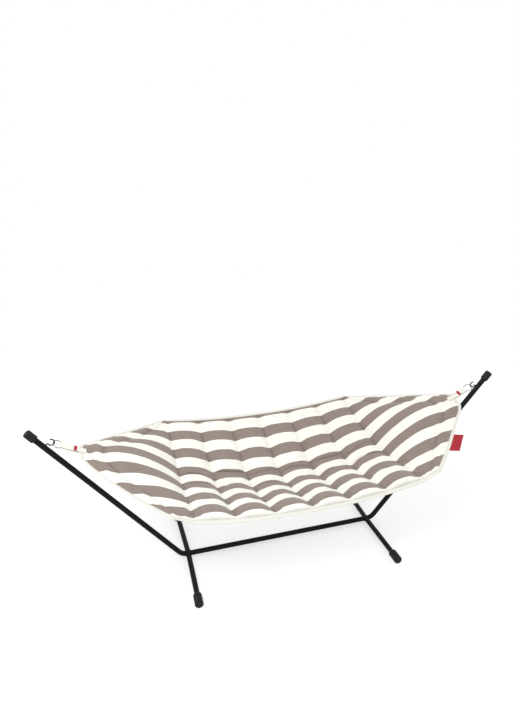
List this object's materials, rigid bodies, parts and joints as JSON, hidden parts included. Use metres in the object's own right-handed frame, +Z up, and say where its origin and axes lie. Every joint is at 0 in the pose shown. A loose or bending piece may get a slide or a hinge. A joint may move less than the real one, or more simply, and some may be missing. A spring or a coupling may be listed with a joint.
{
  "type": "hammock on stand",
  "caption": "Quilted striped fabric hammock hung by steel rings from hooks on a black tubular steel stand with slanting uprights and cross feet.",
  "frame": {"origin": "on the floor under the middle of the stand", "axes": "+X along the length of the hammock, +Y to the back, +Z up"},
  "size_m": [3.2906, 1.288, 1.1749],
  "materials": {
    "stand_steel": "satin black powder coat",
    "weld_steel": "satin black powder coat over a weld bead",
    "cap_rubber": "moulded black, slightly grained",
    "hook_steel": "black coated wire",
    "ring_steel": "zinc plated, slightly dull",
    "strap_webbing": "cream flat webbing",
    "label_fabric": "plain red woven label",
    "striped_fabric": "quilted cloth with lengthwise taupe and off-white stripes",
    "hem_fabric": "cream binding tape"
  },
  "bodies": {
    "stand": {"left_back_foot_cap": "cap_rubber", "left_back_leg": "stand_steel", "left_corner_tube": "stand_steel", "left_front_foot_cap": "cap_rubber", "left_front_leg": "stand_steel", "left_hook": "hook_steel", "left_leg_welds": "weld_steel", "left_upright_cap": "cap_rubber", "left_upright_tube": "stand_steel", "right_back_foot_cap": "cap_rubber", "right_back_leg": "stand_steel", "right_corner_tube": "stand_steel", "right_front_foot_cap": "cap_rubber", "right_front_leg": "stand_steel", "right_hook": "hook_steel", "right_leg_welds": "weld_steel", "right_upright_cap": "cap_rubber", "right_upright_tube": "stand_steel", "spine_tube": "stand_steel"},
    "hammock": {"back_hem": "hem_fabric", "front_hem": "hem_fabric", "left_back_end_hem": "hem_fabric", "left_end_panel": "striped_fabric", "left_front_end_hem": "hem_fabric", "left_ring": "ring_steel", "left_strap": "strap_webbing", "left_strap_label": "label_fabric", "quilted_channel_1": "striped_fabric", "quilted_channel_2": "striped_fabric", "quilted_channel_3": "striped_fabric", "quilted_channel_4": "striped_fabric", "quilted_channel_5": "striped_fabric", "quilted_channel_6": "striped_fabric", "right_back_end_hem": "hem_fabric", "right_end_panel": "striped_fabric", "right_front_end_hem": "hem_fabric", "right_ring": "ring_steel", "right_strap": "strap_webbing", "right_strap_label": "label_fabric", "side_tag": "label_fabric"}
  },
  "joints": [
    {"name": "hammock_swing", "type": "hinge", "parent": "stand", "child": "hammock", "pos_m": [0, 0, 1.07154], "axis": [1, 0, 0], "range_deg": [-20, 20]}
  ]
}
